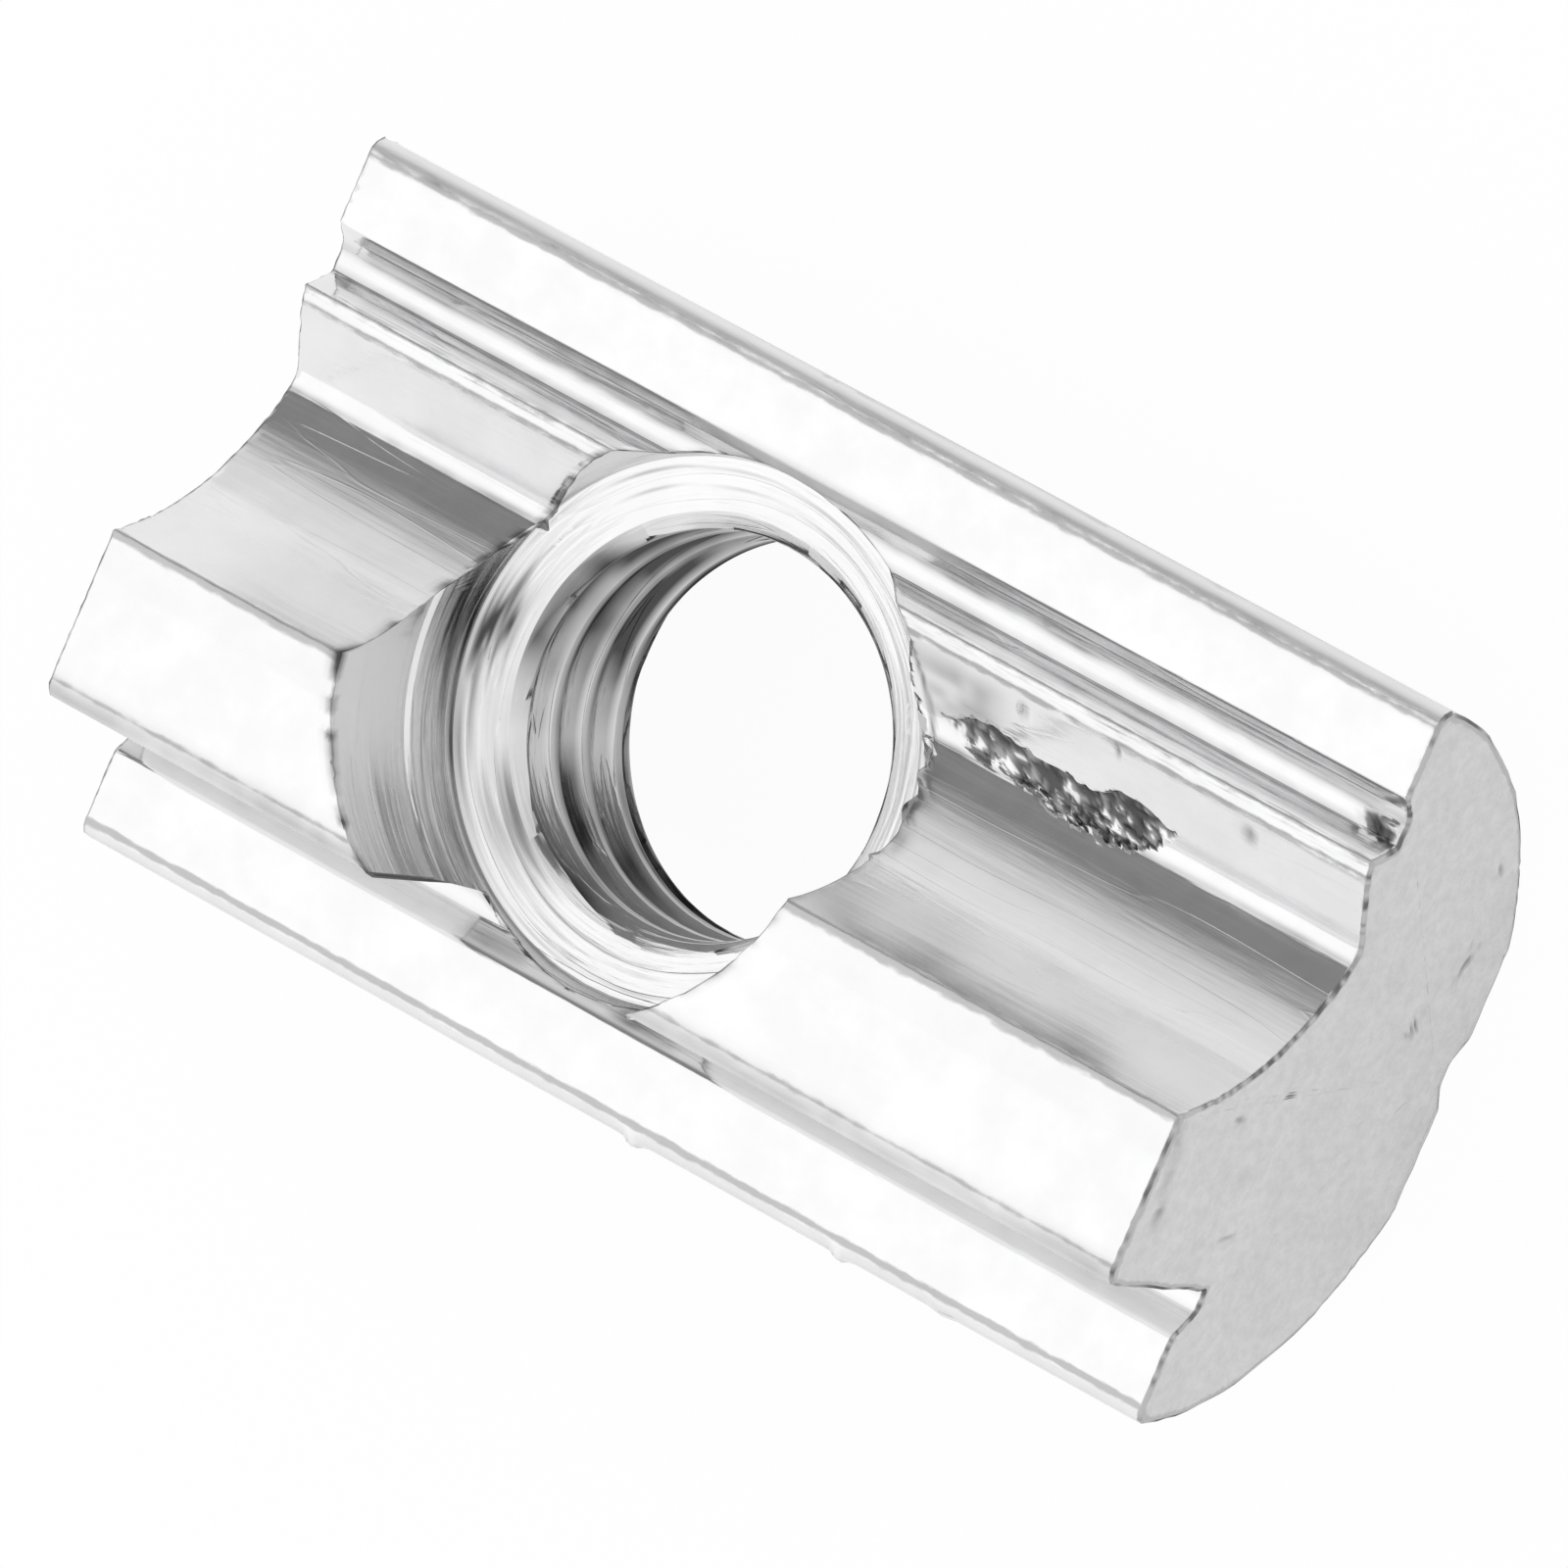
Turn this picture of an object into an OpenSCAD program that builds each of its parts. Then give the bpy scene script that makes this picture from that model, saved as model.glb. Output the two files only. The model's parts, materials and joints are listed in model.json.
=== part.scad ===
// Half-round slot nut: one length of drawn steel bar, drilled through its neck and tapped.
// X runs along the slot, Y across it, and +Z out of the neck, along the threaded hole.
// The origin is the middle of the flat back, on which the nut lies.

/* [Bar] */
// Length of the nut along the slot
nut_length = 22.5; // [19:0.5:40]
// Radius of the half-round back
back_radius = 6.45; // [6.3:0.05:7]
// Width of the flat rolled along the back
back_flat_width = 4.78; // [3.6:0.02:5.2]
// Height of the shoulder faces above the flat back
shoulder_height = 5.62; // [5.3:0.02:5.9]
// Radius on the outer edge of each shoulder
shoulder_edge_radius = 0.3; // [0.2:0.05:0.5]
// Width of the centre groove in the back
back_groove_width = 1.3; // [0.8:0.1:2]
// Depth of the centre groove in the back
back_groove_depth = 0.3; // [0.1:0.05:0.5]
// Distance of that groove from the middle plane
back_groove_offset = 0.1; // [-0.4:0.1:0.4]

/* [Neck] */
// Width of the neck that enters the slot
neck_width = 8.0; // [7.6:0.1:8.4]
// Height of the ridge above the shoulder faces
ridge_height = 2.93; // [2.4:0.01:3.6]
// Width of the flat on top of the ridge, with its edge radius
ridge_width = 3.07; // [2.5:0.01:3.6]
// Radius on the outer edge of the ridge
ridge_edge_radius = 0.35; // [0.1:0.05:0.6]
// Depth of the relief groove between neck and shoulder
relief_depth = 0.42; // [0.2:0.02:0.6]
// Width of the floor of the relief groove
relief_floor_width = 0.4; // [0.2:0.05:0.6]
// Width of the slope from the relief groove up to the shoulder
relief_slope_width = 0.45; // [0.2:0.05:0.6]
// Height of the low side's crest above the shoulder faces
crest_height = 0.23; // [0.1:0.01:0.4]
// How far the low side's outer wall leans in from foot to crest
crest_lean = 0.3; // [0.1:0.05:0.5]
// Width of the bevel along that crest
crest_bevel_width = 0.4; // [0.2:0.05:0.6]
// Drop of the bevel along that crest
crest_bevel_drop = 0.15; // [0.05:0.05:0.25]

/* [Channel] */
// Radius of the hollow flank of the ridge
channel_radius = 4.9; // [4.2:0.1:6]
// Depth of the channel floor below the shoulder faces
channel_depth = 0.64; // [0.4:0.02:0.9]
// Distance of the channel floor's ridge side from the middle plane
channel_floor_offset = 1.78; // [1.4:0.02:2]
// Width of the channel floor
channel_floor_width = 0.4; // [0.2:0.05:0.6]

/* [Hole] */
// Minor diameter of the M8 thread
thread_minor_diameter = 6.8; // [6.6:0.05:7]
// Distance of the hole from the middle of the length
hole_offset = 1.65; // [0:0.05:3]
// Diameter of the drilled mouth through the neck
mouth_diameter = 9.62; // [9.3:0.02:10]
// Height above the shoulder faces where the mouth starts to taper
mouth_taper_start = 0.51; // [0.1:0.01:0.9]
// Diameter at the foot of the mouth, where the countersink starts
mouth_foot_diameter = 9.15; // [8.8:0.05:9.3]
// Depth of the foot of the mouth below the shoulder faces
mouth_foot_depth = 0.65; // [0.3:0.01:0.7]
// Depth of the drill point cone from there to the thread
countersink_depth = 0.38; // [0.3:0.01:0.8]
// Distance from one thread groove to the next, measured in the photo
thread_pitch = 1.06; // [0.9:0.01:1.3]
// Diameter at the bottom of the thread grooves
thread_root_diameter = 7.95; // [7.6:0.05:8.2]
// Height of the lowest full groove above the flat back
thread_first_groove = 1.96; // [1.8:0.02:2.4]
// Number of full grooves
thread_grooves = 3; // [1:1:3]
// Diameter of the countersink in the back
back_countersink_diameter = 8.7; // [7.8:0.1:9.2]
// Depth of the countersink in the back
back_countersink_depth = 0.94; // [0.5:0.02:1.2]

/* [Hidden] */
$fn = 96;
overshoot = 1;

back_centre_z = sqrt(pow(back_radius, 2) - pow(back_flat_width / 2, 2));
neck_side = neck_width / 2;
ridge_top_z = shoulder_height + ridge_height;
crest_z = shoulder_height + crest_height;
relief_floor_z = shoulder_height - relief_depth;
channel_floor_z = shoulder_height - channel_depth;
channel_floor_end = channel_floor_offset + channel_floor_width;
ridge_inner_y = ridge_width - neck_side;
mouth_taper_z = shoulder_height + mouth_taper_start;
mouth_foot_z = shoulder_height - mouth_foot_depth;
thread_top_z = mouth_foot_z - countersink_depth;

// The flank is an arc through the ridge's inner edge and the start of the channel floor
flank_run = channel_floor_offset - ridge_inner_y;
flank_rise = ridge_top_z - channel_floor_z;
flank_chord = norm([flank_run, flank_rise]);
flank_reach = sqrt(pow(channel_radius, 2) - pow(flank_chord / 2, 2));
flank_centre = [
    (channel_floor_offset + ridge_inner_y) / 2 + flank_reach * flank_rise / flank_chord,
    (channel_floor_z + ridge_top_z) / 2 + flank_reach * flank_run / flank_chord
];

// The round of a shoulder edge stands a little proud of the round back, so that the two arcs cross
edge_proud = shoulder_edge_radius / 10;
edge_centre_z = shoulder_height - shoulder_edge_radius;
edge_back_y = sqrt(pow(back_radius, 2) - pow(back_centre_z - edge_centre_z, 2));
edge_centre_y = edge_back_y + edge_proud - shoulder_edge_radius;

// Round bar, flat on its back and on top
module stock_outline() {
    intersection() {
        translate([0, back_centre_z]) circle(r = back_radius);
        translate([-back_radius - overshoot, 0])
            square([2 * (back_radius + overshoot), ridge_top_z]);
    }
}

// Everything above one shoulder and its relief groove, out from a neck wall that leans in
module shoulder_cut(wall_lean, wall_top) {
    groove_end = neck_side + relief_floor_width;
    polygon([
        [neck_side, relief_floor_z],
        [groove_end, relief_floor_z],
        [groove_end + relief_slope_width, shoulder_height],
        [back_radius + overshoot, shoulder_height],
        [back_radius + overshoot, ridge_top_z + overshoot],
        [neck_side - wall_lean, ridge_top_z + overshoot],
        [neck_side - wall_lean, wall_top]
    ]);
}

// What a round edge takes off a square corner that points to +Y and +Z
module corner_cut(centre, radius) {
    difference() {
        translate(centre) square(radius + overshoot);
        translate(centre) circle(r = radius);
    }
}

// Hollow flank, narrow floor and the slope up to the low side's crest
module channel_cut() {
    intersection() {
        translate(flank_centre) circle(r = channel_radius);
        translate([ridge_inner_y - overshoot, channel_floor_z])
            square([flank_run + 2 * overshoot, flank_rise + overshoot]);
    }
    polygon([
        [channel_floor_offset, channel_floor_z],
        [channel_floor_end, channel_floor_z],
        [neck_side - crest_lean - crest_bevel_width, crest_z - crest_bevel_drop],
        [neck_side - crest_lean, crest_z],
        [neck_side + overshoot, crest_z],
        [neck_side + overshoot, ridge_top_z + overshoot],
        [channel_floor_offset, ridge_top_z + overshoot]
    ]);
}

module back_groove_cut() {
    bottom = back_groove_width / 3;
    translate([back_groove_offset, 0]) polygon([
        [-back_groove_width / 2 - overshoot, -overshoot],
        [-back_groove_width / 2, 0],
        [-bottom / 2, back_groove_depth],
        [bottom / 2, back_groove_depth],
        [back_groove_width / 2, 0],
        [back_groove_width / 2 + overshoot, -overshoot]
    ]);
}

module bar_section() {
    ridge_edge_centre = [neck_side - ridge_edge_radius, ridge_top_z - ridge_edge_radius];
    difference() {
        stock_outline();
        shoulder_cut(crest_lean, crest_z);
        corner_cut([edge_centre_y, edge_centre_z], shoulder_edge_radius);
        mirror([1, 0]) {
            shoulder_cut(0, ridge_top_z);
            corner_cut([edge_centre_y, edge_centre_z], shoulder_edge_radius);
            corner_cut(ridge_edge_centre, ridge_edge_radius);
        }
        channel_cut();
        back_groove_cut();
    }
}

// Thread grooves as level rings, with the thread's own section but without its lead
// As on any metric thread, a groove is 3/4 of the pitch wide at its mouth and 1/8 at its bottom
module thread_cut() {
    thread_r = thread_minor_diameter / 2;
    root_r = thread_root_diameter / 2;
    half_mouth = thread_pitch * 3 / 8;
    half_root = thread_pitch / 16;
    for (k = [0 : thread_grooves - 1])
        translate([0, 0, thread_first_groove + k * thread_pitch]) rotate_extrude() polygon([
            [0, -half_mouth],
            [thread_r, -half_mouth],
            [root_r, -half_root],
            [root_r, half_root],
            [thread_r, half_mouth],
            [0, half_mouth]
        ]);
}

// Drilled mouth, drill point cone, plain hole at the thread's crests and back countersink
module hole_cut() {
    thread_r = thread_minor_diameter / 2;
    mouth_r = mouth_diameter / 2;
    foot_r = mouth_foot_diameter / 2;
    back_r = back_countersink_diameter / 2;
    back_slope = (back_r - thread_r) / back_countersink_depth;
    rotate_extrude() polygon([
        [0, -overshoot],
        [back_r + overshoot * back_slope, -overshoot],
        [thread_r, back_countersink_depth],
        [thread_r, thread_top_z],
        [foot_r, mouth_foot_z],
        [mouth_r, mouth_taper_z],
        [mouth_r, ridge_top_z + overshoot],
        [0, ridge_top_z + overshoot]
    ]);
}

module nut_body() {
    color("silver") difference() {
        rotate([90, 0, 90]) linear_extrude(nut_length, center = true) bar_section();
        translate([-hole_offset, 0, 0]) {
            hole_cut();
            thread_cut();
        }
    }
}

nut_body();
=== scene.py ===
import json

import bmesh
import bpy
import numpy as np
from mathutils import Matrix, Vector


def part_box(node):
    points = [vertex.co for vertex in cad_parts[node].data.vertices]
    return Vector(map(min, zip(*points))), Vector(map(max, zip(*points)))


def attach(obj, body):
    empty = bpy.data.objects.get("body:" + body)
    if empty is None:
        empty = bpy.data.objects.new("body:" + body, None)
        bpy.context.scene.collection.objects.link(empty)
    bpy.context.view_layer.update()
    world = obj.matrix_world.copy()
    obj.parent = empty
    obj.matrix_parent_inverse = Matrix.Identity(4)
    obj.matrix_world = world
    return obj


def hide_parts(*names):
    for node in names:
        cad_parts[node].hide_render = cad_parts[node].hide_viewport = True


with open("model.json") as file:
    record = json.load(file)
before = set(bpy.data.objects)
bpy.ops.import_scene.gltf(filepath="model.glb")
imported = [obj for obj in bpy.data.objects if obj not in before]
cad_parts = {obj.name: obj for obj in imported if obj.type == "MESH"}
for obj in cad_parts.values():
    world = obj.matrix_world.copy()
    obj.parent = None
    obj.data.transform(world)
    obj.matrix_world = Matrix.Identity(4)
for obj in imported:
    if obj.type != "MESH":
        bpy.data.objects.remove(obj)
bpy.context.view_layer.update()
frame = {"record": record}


# Camera.
# A long lens looks down into the channel from past the near end, so the nut's flat back stays hidden
# and the far end is almost as large as the near one.
MM = 0.001
PHOTO_SIDE_PIXELS = 1600
FOCAL_PIXELS = 25744
SENSOR_WIDTH = 36
CAMERA_PLACE = np.array([192.238, 73.981, 365.229]) * MM
CAMERA_BACK = np.array([0.46268, 0.17836, 0.8684])
CAMERA_UP_HINT = (-0.42612, 0.90372, 0.04142)


def new_object(name, data):
    """An object with this data in the scene."""
    made = bpy.data.objects.new(name, data)
    bpy.context.scene.collection.objects.link(made)
    return made


def facing(up_hint, back, place):
    """The matrix of something at a place, with its back to one way and its top towards the hint."""
    back = back / np.linalg.norm(back)
    right = np.cross(up_hint, back)
    right /= np.linalg.norm(right)
    matrix = np.eye(4)
    matrix[:3, :] = np.c_[right, np.cross(back, right), back, place]
    return Matrix(matrix.tolist())


camera_data = bpy.data.cameras.new("photo_camera")
camera_data.sensor_width = SENSOR_WIDTH
camera_data.lens = SENSOR_WIDTH * FOCAL_PIXELS / PHOTO_SIDE_PIXELS
camera_data.clip_start = 0.05
camera_data.clip_end = 20
camera = new_object("photo_camera", camera_data)
camera.matrix_world = facing(CAMERA_UP_HINT, CAMERA_BACK, CAMERA_PLACE)
bpy.context.scene.camera = camera


# Nut body: the drawn bar.
# One length of steel bar, drawn to this section through a die, sawn off, drilled through the neck,
# tapped, and plated bright with zinc. Lengths here are in millimetres, in the CAD part's frame.
low, high = (np.array(corner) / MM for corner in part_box("nut_body"))
HALF_LENGTH = (high[0] - low[0]) / 2
RIDGE_TOP = high[2]
thread_mount = next(m for m in frame["record"]["mounts"] if m["name"] == "thread")
HOLE_X, _, thread_middle = np.array(thread_mount["pos_m"]) / MM
THREAD_CREST = thread_mount["dims"]["r_mm"]
THREAD_LOW = thread_middle - thread_mount["dims"]["length_mm"] / 2
THREAD_HIGH = thread_middle + thread_mount["dims"]["length_mm"] / 2

BACK_RADIUS = 6.45
BACK_FLAT = 4.78
SHOULDER = 5.62
SHOULDER_EDGE = 0.3
SHOULDER_INNER = 4.85
RELIEF_OUTER = 4.4
RELIEF_BEND = (4.62, 5.35)
RELIEF_FLOOR = 5.2
NECK_SIDE = 4.0
CREST_OUTER = (3.7, 5.85)
CREST_INNER = (3.3, 5.70)
CHANNEL_FLOOR = 4.98
CHANNEL_OUTER = 2.18
CHANNEL_INNER = 1.88
FLANK_RADIUS = 4.9
RIDGE_INNER = -0.93
RIDGE_EDGE = 0.35
GROOVE_MOUTH = (-0.55, 0.75)
GROOVE_BOTTOM = (-0.117, 0.317)
GROOVE_DEPTH = 0.3

# Radius of the finished hole at each height: back countersink, thread crests, drill point, drilled mouth
MOUTH_FOOT, MOUTH_TAPER = 4.97, 6.13
BACK_MOUTH_RADIUS, FOOT_RADIUS, MOUTH_RADIUS = 4.35, 4.575, 4.81
HOLE_HEIGHTS = [0, THREAD_LOW, THREAD_HIGH, MOUTH_FOOT, MOUTH_TAPER]
HOLE_RADII = [BACK_MOUTH_RADIUS, THREAD_CREST, THREAD_CREST, FOOT_RADIUS, MOUTH_RADIUS]


def hole_radius(height):
    """Radius of the hole's plain wall at a height: straight lines between the heights of its profile."""
    return np.interp(height, HOLE_HEIGHTS, HOLE_RADII)


NOISE_SIDE = 97


def soft_noise(across, along, seed):
    """Smooth random heights from -1 to 1: a value at each whole number, eased between the four nearest."""
    table = np.random.default_rng(seed).uniform(-1, 1, (NOISE_SIDE, NOISE_SIDE))
    row, column = np.floor(across).astype(int), np.floor(along).astype(int)
    u, v = across - row, along - column
    u, v = u * u * (3 - 2 * u), v * v * (3 - 2 * v)
    row, row_after = row % NOISE_SIDE, (row + 1) % NOISE_SIDE
    column, column_after = column % NOISE_SIDE, (column + 1) % NOISE_SIDE
    near = table[row, column] * (1 - v) + table[row, column_after] * v
    far = table[row_after, column] * (1 - v) + table[row_after, column_after] * v
    return near * (1 - u) + far * u


def layered_noise(across, along, layers):
    """Sum of soft noises from a list of (height, size across, size along, seed)."""
    return sum(high * soft_noise(across / wide, along / long, seed) for high, wide, long, seed in layers)


def patch(x, y, middle_x, middle_y, along, across, power=4):
    """A patch of height 1 that fades at its reach each way: flat-topped, or a bell with power 2."""
    return np.exp(-((x - middle_x) / along) ** power - ((y - middle_y) / across) ** power)


ARC_POINTS = 90


def arc(centre, radius, start, end):
    """Points on a circle from one angle to another, in degrees."""
    turn = np.radians(np.linspace(start, end, ARC_POINTS))
    return np.c_[centre[0] + radius * np.cos(turn), centre[1] + radius * np.sin(turn)]


def chain(start, *corners):
    """Straight runs from a point through corners, each given as (point, length taken off there)."""
    points = [start] + [point for point, _ in corners]
    return [(np.array(points[k:k + 2], float), cut) for k, (_, cut) in enumerate(corners)]


def bar_runs():
    """Runs of the section, each (points, length taken off each side for the round at its far corner).

    They go anticlockwise as seen from +X, from the low shoulder's round over the top, down the ridge side
    and along the back.
    """
    back_centre = np.sqrt(BACK_RADIUS ** 2 - (BACK_FLAT / 2) ** 2)
    edge_z = SHOULDER - SHOULDER_EDGE
    edge_y = np.sqrt(BACK_RADIUS ** 2 - (back_centre - edge_z) ** 2) - SHOULDER_EDGE
    edge_turn = np.degrees(np.arctan2(edge_z - back_centre, edge_y + SHOULDER_EDGE))
    flat_turn = np.degrees(np.arctan2(-back_centre, BACK_FLAT / 2))
    run, rise = CHANNEL_INNER - RIDGE_INNER, RIDGE_TOP - CHANNEL_FLOOR
    chord = np.hypot(run, rise)
    reach = np.sqrt(FLANK_RADIUS ** 2 - (chord / 2) ** 2)
    flank_y = (CHANNEL_INNER + RIDGE_INNER) / 2 + reach * rise / chord
    flank_z = (CHANNEL_FLOOR + RIDGE_TOP) / 2 + reach * run / chord
    flank_foot = np.degrees(np.arctan2(CHANNEL_FLOOR - flank_z, CHANNEL_INNER - flank_y))
    flank_head = np.degrees(np.arctan2(RIDGE_TOP - flank_z, RIDGE_INNER - flank_y))
    ridge_arc = (-NECK_SIDE + RIDGE_EDGE, RIDGE_TOP - RIDGE_EDGE)
    relief_foot, relief_lip = (RELIEF_OUTER, RELIEF_FLOOR), (SHOULDER_INNER, SHOULDER)
    return [
        (arc((edge_y, edge_z), SHOULDER_EDGE, 0, 90), 0),
        *chain(
            (edge_y, SHOULDER), (relief_lip, 0.05), (RELIEF_BEND, 0.02), (relief_foot, 0.05),
            ((NECK_SIDE, RELIEF_FLOOR), 0.05), (CREST_OUTER, 0.05), (CREST_INNER, 0.05),
            ((CHANNEL_OUTER, CHANNEL_FLOOR), 0.15), ((CHANNEL_INNER, CHANNEL_FLOOR), 0.07),
        ),
        (arc((flank_y, flank_z), FLANK_RADIUS, flank_foot, flank_head), 0.05),
        *chain((RIDGE_INNER, RIDGE_TOP), ((ridge_arc[0], RIDGE_TOP), 0)),
        (arc(ridge_arc, RIDGE_EDGE, 90, 180), 0),
        *chain(
            (-NECK_SIDE, ridge_arc[1]), ((-NECK_SIDE, RELIEF_FLOOR), 0.05),
            ((-RELIEF_OUTER, RELIEF_FLOOR), 0.06), ((-SHOULDER_INNER, SHOULDER), 0.1),
            ((-edge_y, SHOULDER), 0),
        ),
        (arc((-edge_y, edge_z), SHOULDER_EDGE, 90, 180), 0.02),
        (arc((0, back_centre), BACK_RADIUS, 180 - edge_turn, 180 - flat_turn), 0.15),
        *chain(
            (-BACK_FLAT / 2, 0), ((GROOVE_MOUTH[0], 0), 0.1),
            ((GROOVE_BOTTOM[0], GROOVE_DEPTH), 0.08), ((GROOVE_BOTTOM[1], GROOVE_DEPTH), 0.08),
            ((GROOVE_MOUTH[1], 0), 0.1), ((BACK_FLAT / 2, 0), 0.15),
        ),
        (arc((0, back_centre), BACK_RADIUS, flat_turn, edge_turn), 0.02),
    ]


# Where lines are closer than usual: place on the section, reach round it, and spacing there
PLAIN_SPACING = 0.32
CLOSE_LINES = [
    ((2.3, 5.0), 0.6, 0.055),
    ((3.4, 5.7), 0.5, 0.09),
    ((4.6, 5.4), 0.25, 0.06),
    ((-4.6, 5.4), 0.25, 0.06),
    ((0.6, 5.8), 1.2, 0.1),
    ((-0.6, 7.9), 0.8, 0.1),
    ((-2.3, 8.55), 1.4, 0.13),
    ((-5.5, 5.62), 0.7, 0.13),
    ((5.5, 5.62), 0.7, 0.13),
    ((-3.66, 0.68), 0.3, 0.09),
    ((3.66, 0.68), 0.3, 0.09),
]
SPACING_GROWTH = 0.25
# Points tried along a run to find the hole and to space it, and a corner's steps
TOUCH_POINTS, TRIM_POINTS, CORNER_STEPS = 801, 500, 5


def line_spacing(points):
    """Distance wanted between lines: the least that any close place asks, growing with the way from it."""
    wanted = np.full(len(points), PLAIN_SPACING)
    for place, reach, spacing in CLOSE_LINES:
        away = np.hypot(*(points - place).T) - reach
        wanted = np.minimum(wanted, spacing + SPACING_GROWTH * np.maximum(away, 0))
    return wanted


def split_at_hole(points):
    """A run cut in two where the hole's circle just touches it, or the run itself if it never does."""
    fine = np.linspace(0, 1, TOUCH_POINTS)
    share = np.linspace(0, 1, len(points))
    y, z = np.interp(fine, share, points[:, 0]), np.interp(fine, share, points[:, 1])
    inside = hole_radius(z) > np.abs(y)
    turn = np.flatnonzero(inside[1:] != inside[:-1])
    if len(turn) != 1:
        return [points]
    both = np.c_[y, z]
    return [both[: turn[0] + 1], both[turn[0]:]]


def trimmed(points, start_cut, end_cut):
    """Points along a run between its two cuts, as close together as line_spacing asks."""
    length = np.r_[0, np.cumsum(np.hypot(*np.diff(points, axis=0).T))]
    fine = np.linspace(start_cut, length[-1] - end_cut, TRIM_POINTS)
    place = np.c_[np.interp(fine, length, points[:, 0]), np.interp(fine, length, points[:, 1])]
    crowd = np.r_[0, np.cumsum(np.diff(fine) / line_spacing(place)[1:])]
    count = max(int(np.ceil(crowd[-1])), 1)
    at = np.interp(np.linspace(0, crowd[-1], count + 1), crowd, fine)
    return np.c_[np.interp(at, length, points[:, 0]), np.interp(at, length, points[:, 1])]


def bar_section():
    """The whole section as one closed line of points: trimmed runs, joined by curves at the corners."""
    runs = []
    for points, cut in bar_runs():
        halves = split_at_hole(points)
        runs += [(half, 0) for half in halves[:-1]] + [(halves[-1], cut)]
    ease = np.linspace(0, 1, CORNER_STEPS + 1)[1:-1, None]
    parts = []
    pieces = [trimmed(points, runs[k - 1][1], cut) for k, (points, cut) in enumerate(runs)]
    for k, (points, cut) in enumerate(runs):
        before, after = pieces[k][-1], pieces[(k + 1) % len(runs)][0]
        if cut:
            curve = (1 - ease) ** 2 * before + 2 * ease * (1 - ease) * points[-1] + ease ** 2 * after
            parts += [pieces[k], curve]
        else:
            parts.append(pieces[k][:-1])
    return np.vstack(parts)


outline = bar_section()
outline_y, outline_z = outline.T
step_ahead = np.roll(outline, -1, axis=0) - outline
step_length = np.hypot(*step_ahead.T)
face_out = np.c_[step_ahead[:, 1], -step_ahead[:, 0]] / step_length[:, None]
outward = face_out + np.roll(face_out, 1, axis=0)
outward /= np.linalg.norm(outward, axis=1)[:, None]
way_round = np.cumsum(step_length) - step_length


def near_places(places):
    """How near each outline point is to a list of (place, reach, amount): the largest bell, amount high."""
    bells = [
        amount * patch(outline_y, outline_z, *place, reach, reach, 2) for place, reach, amount in places
    ]
    return np.max(bells, axis=0)


# Outer corners, where plating and handling leave a ragged line
line_wear = near_places([
    (CREST_OUTER, 0.06, 0.8), ((3.39, 5.74), 0.06, 0.9), ((-1.0, RIDGE_TOP), 0.10, 1),
    ((RIDGE_INNER, RIDGE_TOP), 0.05, 1), ((-3.62, RIDGE_TOP), 0.05, 0.9),
    ((-6.12, SHOULDER), 0.06, 1), ((6.15, SHOULDER), 0.07, 1),
])
# Rough rounds of the outer edges and the ridge's hollow side, where reflections blur
EDGE_MATT, FLANK_MATT = 1.0, 0.6
edge_rounds = ((np.abs(outline_y) > 6.14) & (outline_z > 5.2)) | ((outline_y < -3.6) & (outline_z > 8.15))
on_flank = (np.abs(outline_y) < 1.8) & (outline_z > 5.05)
high_flank = on_flank * np.clip((outline_z - 6.2) / 0.8, 0, 1)
line_matt = np.maximum(EDGE_MATT * edge_rounds, FLANK_MATT * high_flank)
# Painted shade: darker inner corners, and greyer strips of the faces
line_shade = near_places([
    ((4.40, 5.2), 0.06, 0.6), ((4.49, 5.26), 0.05, 0.3), ((4.02, 5.22), 0.06, 0.45),
    ((-4.42, 5.2), 0.07, 0.3), ((-4.6, 5.4), 0.16, 0.14), ((-4.02, 5.2), 0.05, 0.3),
    ((1.87, 4.99), 0.07, 0.5), ((3.42, 5.75), 0.06, 0.15), ((6.16, 5.62), 0.08, 0.15),
    ((-3.8, 8.5), 0.22, 0.3),
])


# The torn place beside the channel floor: its ends and its ragged upper and lower edges
GOUGE_X = [2.50, 3.0, 3.3, 3.6, 4.2, 4.7, 5.4, 5.7, 6.2, 6.7, 7.0, 7.4]
GOUGE_UPPER = [2.26, 2.44, 2.52, 2.52, 2.48, 2.44, 2.40, 2.42, 2.62, 2.57, 2.50, 2.44]
GOUGE_LOWER = [2.20, 2.02, 1.94, 1.90, 1.88, 1.82, 1.70, 1.67, 1.72, 1.82, 1.98, 2.36]
GOUGE_EDGE = 0.06
GOUGE_RAGGED = 0.04
GOUGE_DEPTH = 0.12
GOUGE_LUMPS = 0.06
# Layers of noise here and below: height, size both ways and seed
GOUGE_GRAINS = [(0.6, 0.22, 0.13, 22), (1, 0.10, 0.07, 23)]
# Burr where the low side's relief meets the near end: x, y, reach along the bar and across it
BURR = (10.80, 4.17, 0.36, 0.20)
# Nicks in the land and small bumps under the ridge side's shoulder: x, y, depth or height, reach
NICKS = [(4.16, 3.10, -0.04, 0.05), (8.87, 3.09, -0.04, 0.05), (6.1, 3.3, -0.02, 0.04)]
# Painted shade in the nicks: how dark they are
NICK_SHADE = 0.7
BUMPS = [(0.58, -6.38, 0.11, 0.16), (4.94, -6.38, 0.10, 0.14), (7.1, -6.38, 0.05, 0.1)]
# Darker grey patches, the first on the land by the rim: x, y, reach along the bar and across it, darkness
GREY_PATCHES = [
    (2.6, 2.75, 1.1, 0.50, 0.55), (-3.25, -4.62, 0.66, 0.14, 0.82), (-0.05, -4.62, 0.66, 0.14, 0.82),
]
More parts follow.
